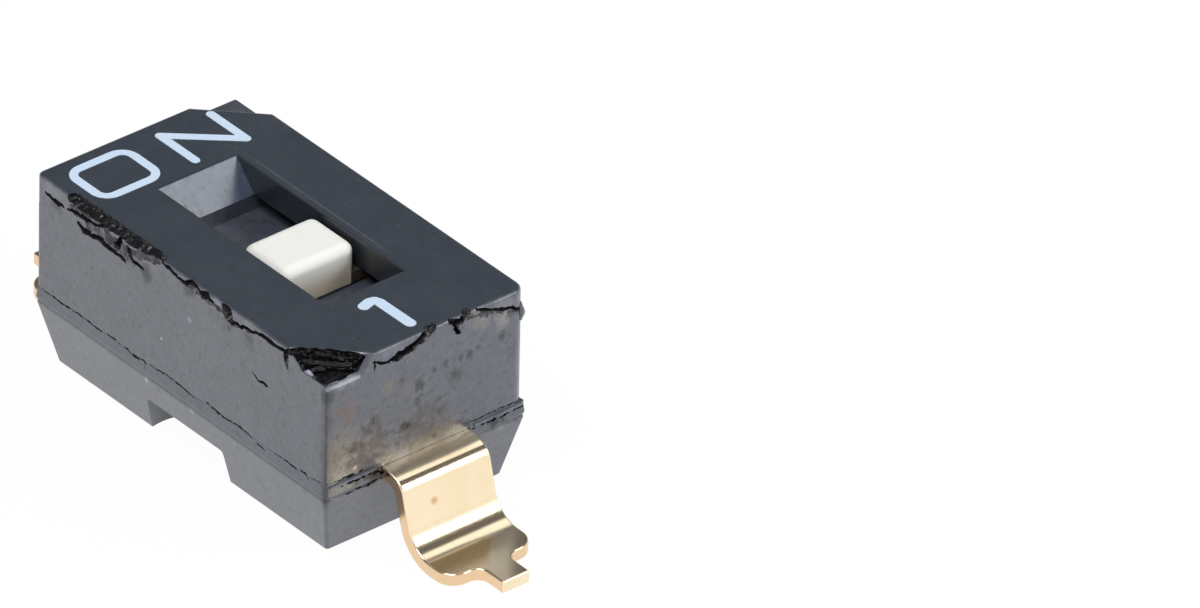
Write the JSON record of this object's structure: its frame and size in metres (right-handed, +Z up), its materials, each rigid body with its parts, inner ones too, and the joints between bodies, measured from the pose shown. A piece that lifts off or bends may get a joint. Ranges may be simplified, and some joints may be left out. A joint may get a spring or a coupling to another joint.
{
  "type": "dip switch",
  "caption": "Surface-mount slide switch: black drafted housing with a slotted cover plate, a cream recessed slider and a gold gull-wing terminal at each end.",
  "frame": {"origin": "centre of the footprint, on the plane of the undersides of the two solder feet", "axes": "+X across the slide, +Y along the slide towards the closed (ON) end, +Z up out of the cover plate"},
  "size_m": [0.0036, 0.0104, 0.0032],
  "materials": {
    "housing_black": "fine moulded satin, glass-filled",
    "plate_black": "satin with a pale printed legend",
    "resin_black": "glossy, broken at the edges",
    "slider_cream": "smooth satin",
    "contact_gold": "gold plated",
    "terminal_gold": "bright gold plate with fine rolling lines"
  },
  "bodies": {
    "housing": {"base": "housing_black", "cap": "housing_black", "seam_resin": "resin_black", "cover_plate": "plate_black", "terminal_on": "terminal_gold", "terminal_off": "terminal_gold"},
    "slide_unit": {"slider": "slider_cream", "moving_contact": "contact_gold"}
  },
  "joints": [
    {"name": "slider_travel", "type": "slide", "parent": "housing", "child": "slide_unit", "axis": [0, 1, 0], "range_m": [0, 0.0008]}
  ]
}
